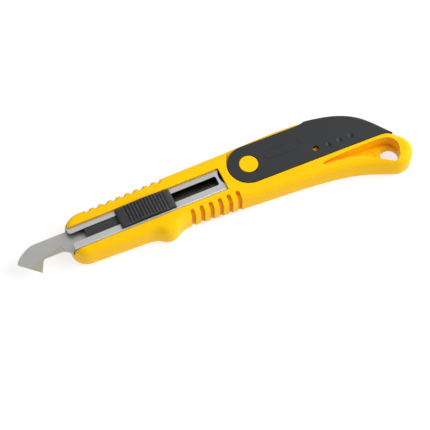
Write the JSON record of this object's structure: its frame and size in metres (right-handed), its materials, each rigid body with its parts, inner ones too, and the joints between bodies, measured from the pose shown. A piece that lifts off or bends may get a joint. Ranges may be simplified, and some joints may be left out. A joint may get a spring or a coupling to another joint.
{
  "type": "scoring knife",
  "caption": "Flat plastic-handled scoring knife: a sliding hooked blade in a slotted steel sheath, ribbed thumb slider, blade store under a swinging cover, hanging hole.",
  "frame": {"origin": "on the flat back, under the middle of the handle's length and the centre line of the blade slot", "axes": "+X from the blade to the tail, +Y towards the scalloped edge, +Z out of the face with the thumb slider"},
  "size_m": [0.1979, 0.0425, 0.0151],
  "materials": {
    "handle_plastic": "satin moulded yellow",
    "pivot_plastic": "satin moulded yellow",
    "cover_plastic": "satin moulded black",
    "black_plastic": "matte moulded charcoal",
    "sheath_steel": "rolled stainless",
    "blade_steel": "matte ground",
    "spring_steel": "blued spring",
    "zinc_steel": "zinc plated"
  },
  "bodies": {
    "handle": {"handle_body": "handle_plastic", "back_plate": "handle_plastic", "back_screw_front": "zinc_steel", "back_screw_middle": "zinc_steel", "back_screw_rear": "zinc_steel", "blade_sheath": "sheath_steel", "sheath_rivet_front": "zinc_steel", "sheath_rivet_rear": "zinc_steel", "cover_pivot": "pivot_plastic", "pivot_screw": "zinc_steel", "spare_blade_1": "blade_steel", "spare_blade_2": "blade_steel", "spare_blade_3": "blade_steel"},
    "carriage": {"hook_blade": "blade_steel", "blade_carrier": "black_plastic", "blade_peg": "zinc_steel", "slider_button": "black_plastic", "lock_spring": "spring_steel", "spring_rivet": "zinc_steel"},
    "cover": {"storage_cover": "cover_plastic"}
  },
  "joints": [
    {"name": "blade_slide", "type": "slide", "parent": "handle", "child": "carriage", "axis": [-1, 0, 0], "range_m": [-0.0125, 0.024], "deforming": ["lock_spring"]},
    {"name": "cover_swing", "type": "hinge", "parent": "handle", "child": "cover", "pos_m": [0.00805, 0.00125, 0.0125], "axis": [0, 0, 1], "range_deg": [0, 60]}
  ]
}
